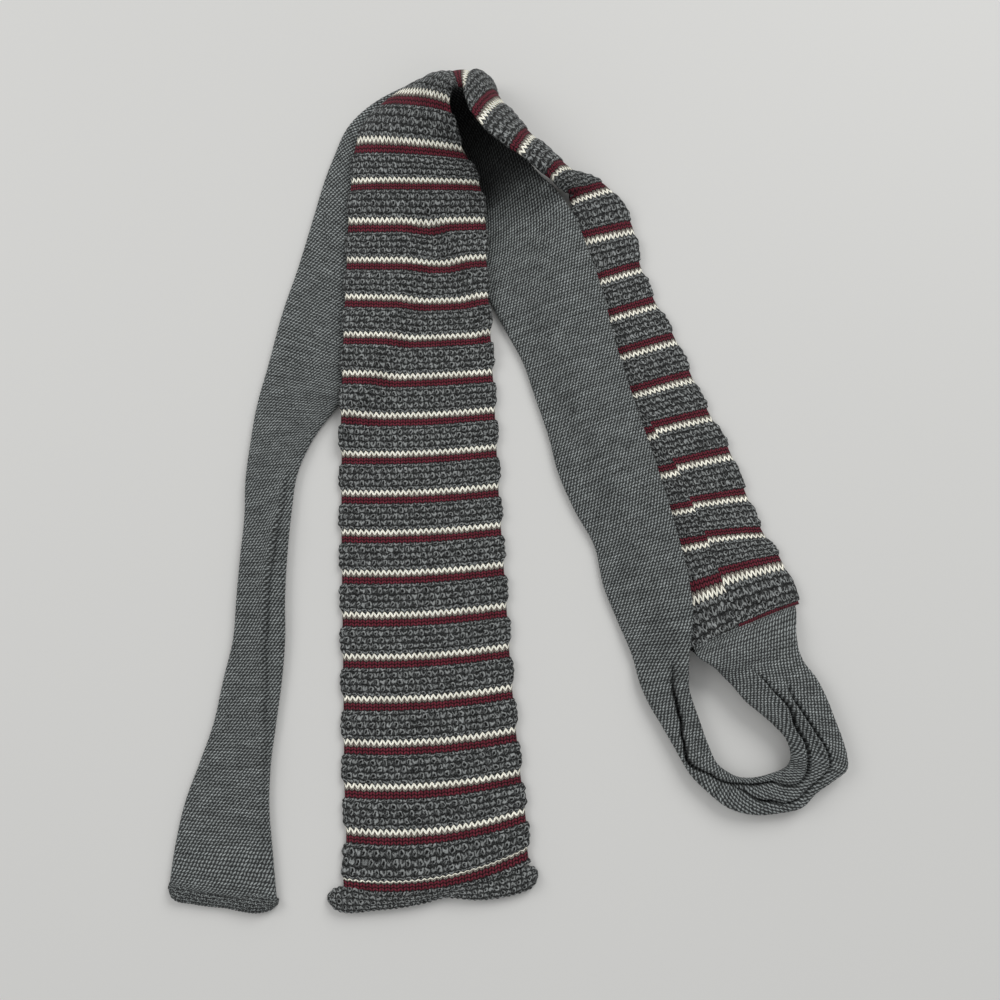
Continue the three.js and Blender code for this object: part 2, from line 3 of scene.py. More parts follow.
import bpy
import numpy as np
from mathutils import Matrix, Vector


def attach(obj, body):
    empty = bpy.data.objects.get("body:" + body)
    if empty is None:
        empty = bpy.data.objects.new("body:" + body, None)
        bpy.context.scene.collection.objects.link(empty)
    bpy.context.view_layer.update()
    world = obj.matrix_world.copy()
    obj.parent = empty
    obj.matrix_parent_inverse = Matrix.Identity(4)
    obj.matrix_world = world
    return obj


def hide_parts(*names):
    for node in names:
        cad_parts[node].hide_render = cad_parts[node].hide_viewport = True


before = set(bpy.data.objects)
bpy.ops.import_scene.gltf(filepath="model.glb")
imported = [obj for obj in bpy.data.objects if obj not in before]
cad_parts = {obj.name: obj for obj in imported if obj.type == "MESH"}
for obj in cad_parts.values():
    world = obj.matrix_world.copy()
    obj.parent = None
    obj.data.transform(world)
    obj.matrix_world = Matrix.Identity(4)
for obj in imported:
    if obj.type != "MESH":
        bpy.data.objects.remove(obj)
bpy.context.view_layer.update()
scene = bpy.context.scene
print("frame loaded")


# Camera, board and light

view = {
    "place": (-0.003913, -0.08299, 0.39392),  # metres
    "aim": (-0.003913, -0.01353, 0.0),
    "lens": 36.0,
    "sensor": 36.0,
}

board = {
    "size": 3.0,
    "colour": (0.80, 0.80, 0.785, 1),
    "roughness": 0.55,
}

lamps = [  # name, place, aim, size, watts, colour
    ("northWindow", (0.75, 1.00, 1.20), (0, 0, 0), 1.10, 11.0, (1.0, 1.0, 0.99)),
    ("leftLamp", (-1.10, 0.30, 1.00), (0, 0, 0), 0.90, 4.5, (1.0, 0.99, 0.98)),
]
roomLight = {"colour": (1.0, 1.0, 1.0, 1), "strength": 0.42}


def turnTowards(thing, aim):
    thing.rotation_euler = (Vector(aim) - thing.location).to_track_quat("-Z", "Y").to_euler()


def addCamera():
    bpy.ops.object.camera_add(location=view["place"])
    camera = bpy.context.object
    camera.name = "photoCamera"
    camera.data.lens = view["lens"]
    camera.data.sensor_width = view["sensor"]
    camera.data.dof.use_dof = False
    camera.data.clip_start = 0.01
    turnTowards(camera, view["aim"])
    scene.camera = camera


def addLights():
    for name, place, aim, size, watts, colour in lamps:
        bpy.ops.object.light_add(type="AREA", location=place)
        lamp = bpy.context.object
        lamp.name = name
        lamp.data.shape = "DISK"
        lamp.data.size = size
        lamp.data.energy = watts
        lamp.data.color = colour
        turnTowards(lamp, aim)
    world = bpy.data.worlds.new("room")
    scene.world = world
    world.use_nodes = True
    background = world.node_tree.nodes["Background"]
    background.inputs["Color"].default_value = roomLight["colour"]
    background.inputs["Strength"].default_value = roomLight["strength"]


addCamera()
addLights()
scene.view_settings.view_transform = "Standard"
print("camera and light done")


# Shader maths

class Wire:  # wraps one output socket, so that maths on it reads as an expression
    def __init__(self, graph, socket):
        self.graph = graph
        self.socket = socket

    def sum(self, kind, first, second=None):
        values = [first] if second is None else [first, second]
        return self.graph.node("ShaderNodeMath", {"operation": kind}, values)

    def __add__(self, other):
        return self.sum("ADD", self, other)

    def __radd__(self, other):
        return self.sum("ADD", other, self)

    def __sub__(self, other):
        return self.sum("SUBTRACT", self, other)

    def __rsub__(self, other):
        return self.sum("SUBTRACT", other, self)

    def __mul__(self, other):
        return self.sum("MULTIPLY", self, other)

    def __rmul__(self, other):
        return self.sum("MULTIPLY", other, self)

    def __truediv__(self, other):
        return self.sum("DIVIDE", self, other)

    def __mod__(self, other):
        return self.sum("FLOORED_MODULO", self, other)

    def __gt__(self, other):
        return self.sum("GREATER_THAN", self, other)

    def __lt__(self, other):
        return self.sum("LESS_THAN", self, other)

    def floor(self):
        return self.sum("FLOOR", self)

    def part(self):
        return self.sum("FRACT", self)

    def size(self):
        return self.sum("ABSOLUTE", self)

    def root(self):
        return self.sum("SQRT", self)

    def held(self):  # kept between 0 and 1
        settings = {"operation": "ADD", "use_clamp": True}
        return self.graph.node("ShaderNodeMath", settings, [self, 0.0])

    def ease(self, low, high):  # 0 below low, 1 above high, smooth between them
        settings = {"interpolation_type": "SMOOTHSTEP"}
        return self.graph.node("ShaderNodeMapRange", settings,
                               {"Value": self, "From Min": low, "From Max": high}, "Result")


class Graph:
    def __init__(self, name):
        self.material = bpy.data.materials.new(name)
        self.material.use_nodes = True
        self.tree = self.material.node_tree
        self.shader = self.tree.nodes["Principled BSDF"]

    def node(self, kind, settings=None, values=None, output=0):
        made = self.tree.nodes.new(kind)
        for key, value in (settings or {}).items():
            if key == "stops":
                self.setStops(made.color_ramp, value)
            else:
                setattr(made, key, value)
        pairs = values.items() if isinstance(values, dict) else enumerate(values or [])
        for key, value in pairs:
            self.feed(made.inputs[key], value)
        return Wire(self, made.outputs[output])

    def feed(self, socket, value):
        if isinstance(value, Wire):
            self.tree.links.new(value.socket, socket)
        else:
            socket.default_value = value

    def setStops(self, ramp, stops):
        while len(ramp.elements) < len(stops):
            ramp.elements.new(1.0)
        for element, (place, colour) in zip(ramp.elements, stops):
            element.position = place
            element.color = colour

    def mix(self, factor, first, second):  # of two colours
        return self.node("ShaderNodeMix", {"data_type": "RGBA"},
                         {0: factor, 6: first, 7: second}, 2)

    def scale(self, colour, factor):
        if not isinstance(colour, Wire):
            colour = colour[:3]
        return self.node("ShaderNodeVectorMath", {"operation": "SCALE"},
                         {0: colour, "Scale": factor})

    def spot(self):  # the place on the object, in metres
        return self.node("ShaderNodeTexCoord", None, None, "Object")

    def noise(self, place, size, detail, roughness):
        return self.node("ShaderNodeTexNoise", None,
                         {"Vector": place, "Scale": size, "Detail": detail,
                          "Roughness": roughness})

    def finish(self, values):
        for key, value in values.items():
            self.feed(self.shader.inputs[key], value)
        return self.material


# Yarns

yarn = {  # scene-linear colours
    "grey": (0.290, 0.305, 0.305, 1),
    "plainGrey": (0.300, 0.325, 0.325, 1),
    "maroon": (0.150, 0.022, 0.036, 1),
    "mixed": (0.270, 0.235, 0.205, 1),
    "cream": (0.950, 0.930, 0.810, 1),
    "roughness": 0.9,
    "sheen": 0.06,
    "gloss": 0.15,
}

# noise scales are per metre, drifts are shares of a stitch, depths are metres
texture = {
    "fibreScale": 2600.0,
    "patchScale": 240.0,
    "patchLeast": 0.70,
    "patchSpan": 0.60,
    "fibreLight": 1.05,
    "stitchLight": 0.30,
    # painted light: the higher a strand stands, the lighter its colour
    "heightLight": 0.80,
    "holeEdges": (0.16, 0.74),
    "loopDriftScale": 640.0,
    "loopDrift": 0.8,
    "loopRadius": 0.66,
    "loopUneven": 0.16,
    "loopSharp": 3.2,
    "loopHole": 0.45,
    "rowGap": 0.10,
    "loopFibres": 1.15,
    "bandDepth": 0.0007,
    # bandDark, creamDark, hemDark and plainDark are painted shade in the holes between strands,
    # as shares of the yarn's colour
    "bandDark": 0.035,
    "creamDark": 0.45,
    "rowRagged": 0.012,
    "stripeFibres": 0.6,
    "hemDark": 0.05,
    "plainCourses": 1.5,
    "plainStagger": 0.5,
    "plainDriftScale": 700.0,
    "plainDrift": 0.7,
    "plainFibres": 1.1,
    "plainSlant": 0.60,
    "plainSlantSpread": 0.9,
    "plainStreak": (0.09, 0.75, 1.0),
    "streakLeast": 0.14,
    "streakSpan": 1.72,
    "creaseShade": 0.85,
    "plainDark": 0.15,
    "plainDepth": 0.0005,
}

# one repeat of the blade, from the wide end on: share of its length, stations, yarn
repeatRows = [
    (0.080, 2, "maroon"),
    (0.080, 2, "maroon"),
    (0.070, 2, "mixed"),
    (0.090, 2, "cream"),
    (0.110, 2, "grey"),
    (0.160, 4, "grey"),
    (0.160, 4, "grey"),
    (0.160, 4, "grey"),
    (0.090, 2, "grey"),
]
rowCount = len(repeatRows)
rowStarts = [sum(row[0] for row in repeatRows[:i]) for i in range(rowCount + 1)]
rings = {"first": 4, "last": 8}
zigzag = {"plain": 0.045, "cream": 0.115, "place": 0.275, "reach": 0.12}
colourSeam = {"stitch": 17.0, "round": 60, "jog": -0.10, "settle": -0.028}
lastStripe = 35 + rowStarts[2] + 0.02


def stitchPlaces(graph):  # the piece's own stitch and course numbers
    place = graph.node("ShaderNodeUVMap", {"uv_map": "knit"})
    split = graph.node("ShaderNodeSeparateXYZ", None, [place]).socket.node
    return place, Wire(graph, split.outputs[0]), Wire(graph, split.outputs[1])


def rowsAt(graph, share):  # from the place in a repeat to its row, 0 to 9
    total = 0
    row = 0
    while row < rowCount:
        count = 1
        while row + count < rowCount and repeatRows[row + count][0] == repeatRows[row][0]:
            count += 1
        total = total + graph.node("ShaderNodeMapRange", None, {
            "Value": share, "From Min": rowStarts[row], "From Max": rowStarts[row + count],
            "To Min": 0.0, "To Max": float(count)})
        row += count
    return total


def yarnNoise(graph, stitch, course):
    spot = graph.spot()
    fine = graph.noise(spot, texture["fibreScale"], 3.0, 0.7)
    broad = graph.noise(spot, texture["patchScale"], 2.0, 0.5)
    cell = graph.node("ShaderNodeCombineXYZ", None, [stitch.floor(), course.floor(), 0.0])
    each = graph.node("ShaderNodeTexWhiteNoise", None, {"Vector": cell})
    return fine, broad, each


def loopCells(graph, stitch, row, turn, fine, each):
    # open loops with sunken middles, painted dark as shade in the yarn finish, and small V's in
    # turn, like a chequer board, no two alike
    clouds = graph.node("ShaderNodeTexNoise", None, {
        "Vector": graph.spot(), "Scale": texture["loopDriftScale"], "Detail": 1.0}, "Color")
    parts = graph.node("ShaderNodeSeparateXYZ", None, [clouds]).socket.node
    drift = texture["loopDrift"]
    x = stitch.part() - 0.5 + (Wire(graph, parts.outputs[0]) - 0.5) * drift
    y = row.part() - 0.5 + (Wire(graph, parts.outputs[1]) - 0.5) * drift
    chequer = (stitch.floor() + row.floor() + turn) % 2.0
    reach = (x * x * 5.6 + y * y * 4.4).root()
    rim = (reach - texture["loopRadius"] - each * texture["loopUneven"]) * texture["loopSharp"]
    upper = (x * 1.8 + y * 1.4 + 0.75).held()
    ring = (1 - rim * rim).held() * (0.05 + 0.95 * upper)
    middle = (1 - reach * 2.3).held()
    smallAcross = y + 0.18 - x.size()
    smallV = (1 - smallAcross * smallAcross * 16.0).held() * (1 - x.size().ease(0.3, 0.5))
    stroke = chequer * ring + (1 - chequer) * smallV * (0.45 + 0.55 * each)
    gap = (y * y * 4.0).held() * texture["rowGap"] + chequer * middle * texture["loopHole"]
    return (0.32 + 0.68 * stroke - gap + (fine - 0.5) * texture["loopFibres"]).held()


def yarnFinish(graph, base, height, fine, broad, each, holeShade, depth):
    # strand brightness from random fibre and stitch tone plus painted light on the raised
    # strands, and painted shade, near black, in the holes between them
    light = (texture["fibreLight"] * fine + texture["stitchLight"] * each
             + height * texture["heightLight"])
    strands = graph.scale(base, light)
    shadedHoles = graph.scale(base, holeShade)
    colour = graph.mix(height.ease(*texture["holeEdges"]), shadedHoles, strands)
    colour = graph.scale(colour, texture["patchLeast"] + broad * texture["patchSpan"])
    bump = graph.node("ShaderNodeBump", None,
                      {"Strength": 1.0, "Distance": depth, "Height": height})
    return graph.finish({
        "Base Color": colour, "Roughness": yarn["roughness"], "Normal": bump,
        "Sheen Weight": yarn["sheen"], "Specular IOR Level": yarn["gloss"],
    })


def stripedKnit():
    graph = Graph("stripedKnit")
    stitch, repeat = stitchPlaces(graph)[1:]
    turned = ((colourSeam["stitch"] - stitch) / colourSeam["round"]).part()
    repeat = repeat + turned * colourSeam["jog"] - colourSeam["settle"]
    fine, broad, each = yarnNoise(graph, stitch, repeat * rowCount)
    side = (stitch.part() - 0.5).size() * 2

    # rows of V's: the courses are pushed up towards each stitch's sides, most in the cream
    share = repeat.part()
    nearCream = 1 - ((share - zigzag["place"]).size() / zigzag["reach"]).held()
    push = zigzag["plain"] + nearCream * (zigzag["cream"] - zigzag["plain"])
    ragged = (each - 0.5) * texture["rowRagged"]
    pushed = repeat + push * (0.5 - side) + ragged
    pushedRow = rowsAt(graph, pushed.part())
    across = pushedRow.part() - 0.5
    legs = side.ease(0.0, 0.25) * (1 - side.ease(0.80, 1.0) * 0.8)
    inCream = (pushedRow > 2.9) * (pushedRow < 4.1)
    plainHeight = (1 - across * across * 3.6).held() * (0.12 + 0.88 * legs)
    creamHeight = (1.15 - across * across * 2.6).held() * (0.70 + 0.30 * legs)
    plainHeight = inCream * creamHeight + (1 - inCream) * plainHeight

    plainHeight = (plainHeight + (fine - 0.5) * texture["stripeFibres"]).held()
    row = rowsAt(graph, share)
    isRing = pushedRow > rings["first"]
    cells = loopCells(graph, stitch, row, repeat.floor(), fine, each)
    height = isRing * cells + (1 - isRing) * plainHeight

    stops = []
    for at, (_, _, colour) in enumerate(repeatRows):
        if not stops or stops[-1][1] != yarn[colour]:
            stops.append((at / rowCount, yarn[colour]))
    base = graph.node("ShaderNodeValToRGB", {"stops": stops}, [pushedRow / rowCount])
    base.socket.node.color_ramp.interpolation = "CONSTANT"
    base = graph.mix(repeat > lastStripe, base, yarn["grey"])
    # painted shade in the holes between strands, deeper between the cream V's
    holeShade = texture["bandDark"] + inCream * (1 - isRing) * texture["creamDark"]
    return yarnFinish(graph, base, height, fine, broad, each, holeShade, texture["bandDepth"])


def plainKnit():
    graph = Graph("plainKnit")
    place, stitch, course = stitchPlaces(graph)
    # finer courses than the skin's ripples, each half a stitch along from the one before
    course = course * texture["plainCourses"]
    stitch = stitch + course.floor() * texture["plainStagger"]
    fine, broad, each = yarnNoise(graph, stitch, course)
    spot = graph.spot()
    clouds = graph.noise(spot, texture["plainDriftScale"], 1.0, 0.5)
    wander = (clouds - 0.5) * texture["plainDrift"]
    stretched = graph.node("ShaderNodeVectorMath", {"operation": "MULTIPLY"},
                           [place, texture["plainStreak"]])
    streak = graph.noise(stretched, 1.0, 3.0, 0.75)
    x = stitch.part() - 0.5 + wander
    y = course.part() - 0.5 + wander
    slant = texture["plainSlant"] + (each - 0.5) * texture["plainSlantSpread"]
    lean = x - y * slant
    tick = (1 - lean * lean * 8.0 - y * y * 3.0).held()
    fibres = (fine - 0.5) * texture["plainFibres"]
    height = (0.22 + tick * 0.78 - y * y * 0.5 + fibres).held()
    # painted shade in the creases, beside the rib and under the fold, darkening the base colour
    crease = graph.node("ShaderNodeAttribute", {"attribute_name": "crease"}, None, "Fac")
    streaks = texture["streakLeast"] + streak * texture["streakSpan"]
    base = graph.scale(yarn["plainGrey"], streaks * (1 - crease * texture["creaseShade"]))
    return yarnFinish(graph, base, height, fine, broad, each,
                      texture["plainDark"], texture["plainDepth"])


def hemKnit(name, colour):
    graph = Graph(name)
    stitch, course = stitchPlaces(graph)[1:]
    fine, broad, each = yarnNoise(graph, stitch, course)
    height = loopCells(graph, stitch, course, 0.0, fine, each)
    return yarnFinish(graph, yarn[colour], height, fine, broad, each,
                      texture["hemDark"], texture["bandDepth"])


def boardFinish():
    graph = Graph("paleBoard")
    spot = graph.spot()
    cloud = graph.noise(spot, 1.7, 2.0, 0.5)
    colour = graph.scale(board["colour"], 0.97 + cloud * 0.06)
    return graph.finish({"Base Color": colour, "Roughness": board["roughness"],
                         "Specular IOR Level": 0.3})


bpy.ops.object.select_all(action="DESELECT")
bpy.ops.mesh.primitive_plane_add(size=board["size"])
bpy.context.object.name = "paleBoard"
bpy.context.object.data.materials.append(boardFinish())


# How the tie lies
# The solids' sizes and route, with rows moved by a millimetre or two to follow the photograph.

lie = {
    "width": 257.0,
    "length": 345.0,
    "bladeWidth": 70.0,
    "tailWidth": 42.0,
    "thickness": 4.0,
    "shift": (-0.0131, 2.0702),
    "bendClearance": 1.2,
    "layerGap": 0.4,
    "drapeReach": 11.0,
    "drapeMargin": 1.0,
    "stationReach": 5.2,
    "floorSink": 0.12,
    "bandSwell": 1.1,
    "squareness": 0.62,
    "repeatLength": 16.6,
    "plainStation": 7.6,
    "bandPlaces": (0.0, 0.24, 0.72),  # shares of a repeat
    "bandShape": [0.0, 0.9, 1.0],
    "evenSwell": 0.6,
    "leastUpright": 0.6,
    "creaseFrom": 0.3,  # how far up the ring a crease begins
}
mm = 0.001

# x, y as shares of the laid size, turn in degrees, width, bank in degrees, bow, thick, lift
stripedRoute = [
    (-0.107, -0.461, 6, 1.013, 0, 0.00, 1.00, 0.00),
    (-0.108, -0.425, 2, 0.988, 0, 0.00, 1.00, 0.00),
    (-0.115, -0.364, 0, 0.970, 0, 0.00, 1.00, 0.00),
    (-0.123, -0.273, 0, 0.946, 0, 0.00, 1.00, 0.00),
    (-0.131, -0.162, 0, 0.931, 0, 0.00, 1.00, 0.00),
    (-0.139, -0.046, 0, 0.914, 0, 0.00, 1.00, 0.00),
    (-0.143, 0.055, 1, 0.897, 0, 0.00, 1.00, 0.00),
    (-0.146, 0.145, 2, 0.872, 0, 0.00, 1.00, 0.00),
    (-0.148, 0.217, 2, 0.846, 0, 0.00, 1.00, 0.00),
    (-0.149, 0.289, -1, 0.829, 2, 0.01, 1.00, 0.00),
    (-0.153, 0.340, -3, 0.780, 5, 0.03, 1.00, 0.00),
    (-0.162, 0.388, -12, 0.667, 14, 0.04, 1.00, 0.00),
    (-0.143, 0.433, -28, 0.525, 35, 0.04, 1.00, 0.00),
    (-0.113, 0.446, -49, 0.472, 52, 0.05, 1.00, 0.00),
    (-0.074, 0.454, -90, 0.509, 52, 0.05, 1.00, 0.00),
    (-0.051, 0.441, -111, 0.542, 48, 0.05, 1.00, 0.00),
    (-0.034, 0.416, -115, 0.512, 46, 0.06, 1.00, 0.00),
    (0.014, 0.376, -114, 0.427, 50, 0.06, 1.00, 0.00),
    (0.047, 0.357, -115, 0.328, 52, 0.06, 1.05, 0.00),
    (0.085, 0.344, -132, 0.258, 37, 0.04, 1.10, 0.00),
    (0.126, 0.335, -156, 0.254, 3, 0.01, 1.10, 0.00),
    (0.146, 0.285, -165, 0.409, 0, 0.00, 1.15, 0.00),
    (0.147, 0.228, -161, 0.509, 0, 0.00, 1.10, 0.00),
    (0.158, 0.177, -161, 0.599, 0, 0.00, 1.00, 0.00),
    (0.181, 0.134, -162, 0.636, 0, 0.00, 1.00, 0.00),
    (0.202, 0.090, -163, 0.654, 0, 0.00, 1.00, 0.00),
    (0.228, 0.044, -165, 0.654, 0, 0.00, 1.00, 0.00),
    (0.256, -0.002, -166, 0.672, 0, 0.00, 1.00, 0.00),
    (0.278, -0.046, -170, 0.661, 0, 0.00, 1.00, 0.00),
    (0.300, -0.087, -175, 0.666, 0, 0.00, 1.00, 0.00),
    (0.324, -0.130, -167, 0.700, 1, 0.00, 1.00, 0.05),
    (0.356, -0.190, -160, 0.677, 4, 0.00, 1.00, 0.12),
]
plainRoute = [
    (0.354, -0.194, -158, 1.102, 6, 0.00, 1.00, 0.12),
    (0.355, -0.212, -164, 0.966, 8, 0.00, 1.05, 0.22),
    (0.371, -0.234, -172, 0.827, 8, 0.00, 1.15, 0.43),
    (0.391, -0.252, -176, 0.811, 7, 0.00, 1.25, 0.52),
    (0.408, -0.272, -178, 0.762, 6, 0.00, 1.35, 0.57),
    (0.424, -0.290, -184, 0.691, 6, 0.00, 1.45, 0.53),
    (0.439, -0.307, -190, 0.633, 6, 0.00, 1.60, 0.32),
    (0.450, -0.324, -196, 0.583, 7, 0.00, 1.70, 0.20),
    (0.452, -0.338, -198, 0.536, 7, 0.00, 1.75, 0.12),
    (0.442, -0.348, -204, 0.430, 8, 0.00, 1.75, 0.12),
    (0.425, -0.358, -218, 0.356, 10, 0.00, 1.75, 0.12),
    (0.406, -0.368, -233, 0.387, 7, 0.00, 1.75, 0.12),
    (0.381, -0.373, -249, 0.348, 5, 0.00, 1.75, 0.07),
    (0.352, -0.375, -268, 0.319, 4, 0.00, 1.75, 0.03),
    (0.326, -0.371, -290, 0.287, 3, 0.00, 1.80, 0.00),
    (0.302, -0.359, -316, 0.254, 3, 0.00, 1.80, 0.00),
    (0.284, -0.346, -338, 0.263, 3, 0.00, 1.80, 0.00),
    (0.268, -0.323, -349, 0.294, 3, 0.00, 1.70, 0.05),
    (0.253, -0.298, -352, 0.345, 5, 0.00, 1.55, 0.05),
    (0.238, -0.273, -352, 0.392, 7, 0.00, 1.40, 0.05),
    (0.229, -0.252, -353, 0.429, 8, 0.00, 1.25, 0.07),
    (0.225, -0.226, -359, 0.489, 0, 0.00, 1.10, 0.00),
    (0.218, -0.179, -356, 0.680, 0, 0.00, 1.00, 0.00),
    (0.205, -0.137, -355, 0.770, 0, 0.00, 1.00, 0.00),
    (0.190, -0.086, -354, 0.760, 0, 0.00, 1.00, 0.00),
    (0.165, -0.038, -351, 0.850, 0, 0.00, 1.00, 0.00),
    (0.146, 0.001, -353, 0.886, 0, 0.00, 1.00, 0.00),
    (0.128, 0.048, -351, 0.863, 0, 0.00, 1.00, 0.00),
    (0.108, 0.096, -353, 0.876, 0, 0.00, 1.00, 0.00),
    (0.092, 0.135, -353, 0.893, 0, 0.00, 1.00, 0.00),
    (0.073, 0.175, -351, 0.992, 0, 0.00, 1.00, 0.00),
    (0.047, 0.224, -347, 1.067, 0, 0.00, 1.00, 0.00),
    (0.023, 0.272, -340, 1.065, 0, 0.00, 1.00, 0.00),
    (-0.002, 0.304, -330, 1.038, 0, 0.00, 1.00, 0.00),
    (-0.033, 0.338, -318, 1.029, 1, 0.00, 1.00, 0.00),
    (-0.077, 0.383, -293, 1.326, 0, 0.00, 1.00, 0.00),
    (-0.129, 0.400, -278, 1.428, 0, 0.00, 1.00, 0.00),
    (-0.185, 0.387, -263, 1.309, 0, 0.00, 1.00, 0.00),
    (-0.224, 0.359, -248, 1.202, 0, 0.00, 1.00, 0.00),
    (-0.240, 0.320, -237, 1.124, 0, 0.00, 1.00, 0.00),
    (-0.250, 0.272, -219, 1.035, 0, 0.00, 1.00, 0.00),
    (-0.263, 0.219, -207, 1.023, 0, 0.00, 1.00, 0.00),
    (-0.286, 0.158, -203, 1.021, 0, 0.00, 1.00, 0.00),
    (-0.312, 0.101, -194, 0.897, 0, 0.00, 1.00, 0.00),
    (-0.337, 0.063, -185, 0.746, 0, 0.00, 1.00, 0.00),
    (-0.357, 0.021, -174, 0.604, 0, 0.00, 1.05, 0.00),
    (-0.370, -0.019, -173, 0.496, 0, 0.00, 1.15, 0.00),
    (-0.373, -0.064, -173, 0.446, 0, 0.00, 1.20, 0.00),
    (-0.377, -0.111, -178, 0.441, 0, 0.00, 1.20, 0.00),
    (-0.379, -0.159, -181, 0.452, 0, 0.00, 1.20, 0.00),
    (-0.379, -0.206, -180, 0.481, 0, 0.00, 1.15, 0.00),
    (-0.386, -0.249, -180, 0.537, 0, 0.00, 1.10, 0.00),
    (-0.395, -0.297, -180, 0.570, 0, 0.00, 1.05, 0.00),
    (-0.407, -0.342, -183, 0.645, 0, 0.00, 1.00, 0.00),
    (-0.416, -0.385, -184, 0.760, 0, 0.00, 1.00, 0.00),
    (-0.418, -0.425, -183, 0.861, 0, 0.00, 1.00, 0.00),
    (-0.416, -0.478, -189, 0.973, 0, 0.00, 1.00, 0.00),
]
underBlade = (29, 46)  # rows of the plain tube that the blade lies over
underTail = (20, 31)  # rows of the striped tube that the plain tube lies over

# share of the tube's length, place across it from -1 to 1, height as a share of the thickness
plainFolds = {
    "rib": [
        (0.767, -0.59, 0.00),
        (0.792, -0.53, 0.35),
        (0.812, -0.37, 0.50),
        (0.840, -0.23, 0.50),
        (0.867, -0.18, 0.45),
        (0.900, -0.46, 0.35),
        (0.931, -0.75, 0.30),
        (0.961, -0.80, 0.20),
        (0.990, -0.69, 0.00),
    ],
    "creaseA": [
        (0.016, 0.30, 0.00),
        (0.034, 0.22, 0.28),
        (0.047, 0.11, 0.40),
        (0.065, 0.38, 0.45),
        (0.079, 0.46, 0.40),
        (0.095, 0.08, 0.20),
        (0.109, 0.68, 0.35),
        (0.127, 0.66, 0.30),
        (0.145, 0.11, 0.30),
        (0.156, -0.66, 0.35),
        (0.168, -0.28, 0.40),
        (0.179, 0.09, 0.40),
        (0.190, 0.28, 0.35),
        (0.204, 0.43, 0.20),
        (0.215, 0.42, 0.00),
    ],
    "creaseB": [
        (0.028, -0.27, 0.00),
        (0.043, -0.15, 0.30),
        (0.061, -0.16, 0.45),
        (0.075, -0.26, 0.45),
        (0.085, -0.39, 0.20),
        (0.106, -0.50, 0.30),
        (0.114, -0.24, 0.35),
        (0.128, 0.34, 0.20),
        (0.137, 0.38, 0.00),
    ],
}

# where each repeat of the stripes starts, in millimetres along the tube
repeatStarts = [
    -3.4, 12.7, 29.2, 45.3, 61.8, 77.9, 93.7, 110.2, 126.2, 141.9, 158.0, 173.6,
    189.7, 206.2, 221.7, 237.9, 253.9, 271.3, 285.6, 304.2, 325.4, 343.9, 365.5, 382.8,
    396.1, 414.7, 434.5, 450.9, 467.6, 484.5, 501.2, 518.3, 535.0, 549.6, 565.1, 585.0,
    601.2,
]

# millimetres along, then how far a course bows back at its ends and leans to its right,
# the width of a stitch, and how far the stitch columns have crept round
courseLie = [
    (-6, 5.2, 1.8, 2.28, 0.0),
    (0, 5.2, 2.0, 2.28, 0.0),
    (16, 3.6, 3.2, 2.26, 0.0),
    (33, 2.4, 2.9, 2.24, 0.0),
    (80, 1.6, 2.4, 2.18, 0.0),
    (120, 1.5, 2.0, 2.14, 0.0),
    (160, 1.4, 1.6, 2.10, 0.0),
    (200, 1.2, 0.4, 2.06, 0.0),
    (230, 1.1, -0.4, 2.02, 0.0),
    (254, 0.9, 0.8, 2.00, 0.0),
    (280, 0.6, -0.2, 1.94, 0.0),
    (305, 0.3, -0.4, 1.92, 0.0),
    (330, 0.0, 0.0, 1.90, 2.0),
    (350, 0.0, 0.0, 1.90, 6.0),
    (380, 0.0, 0.0, 1.90, 10.0),
    (400, 0.0, 0.0, 1.90, 10.5),
    (430, 0.0, 0.0, 1.90, 12.5),
    (480, 0.0, 0.0, 1.90, 13.5),
    (500, 0.0, 0.0, 1.90, 16.0),
    (525, 0.3, 0.3, 1.90, 17.0),
    (550, 1.2, 1.4, 1.90, 17.0),
    (590, 1.8, 2.2, 1.90, 15.0),
]


def smoothRead(places, values, at):  # the same curve through a table as the solids follow
    i = np.clip(np.searchsorted(places, at, side="right"), 1, len(places) - 1)
    t0, t1 = places[i - 1], places[i]
    hasBefore, hasAfter = i >= 2, i + 1 < len(places)
    before = np.where(hasBefore, i - 2, i)
    after = np.where(hasAfter, i + 1, i - 1)
    tBefore = np.where(hasBefore, places[before], 2 * t0 - t1)
    tAfter = np.where(hasAfter, places[after], 2 * t1 - t0)
    half = (t1 - t0) / 2
    wB, wA = half / (t0 - tBefore), half / (tAfter - t1)
    p = (at - t0) / (t1 - t0)
    p2, p3 = p * p, p * p * p
    sB = -wB * p3 + 2 * wB * p2 - wB * p
    s0 = (1 + wB) * p3 - (1.5 + 2 * wB) * p2 + (wB - 0.5) * p + 1
    s1 = -(1 + wA) * p3 + (1.5 + wA) * p2 + 0.5 * p
    sA = wA * p3 - wA * p2
    weights = [sB, s0, s1, sA]
    rows = [values[before], values[i - 1], values[i], values[after]]
    return sum(w[:, None] * row for w, row in zip(weights, rows))


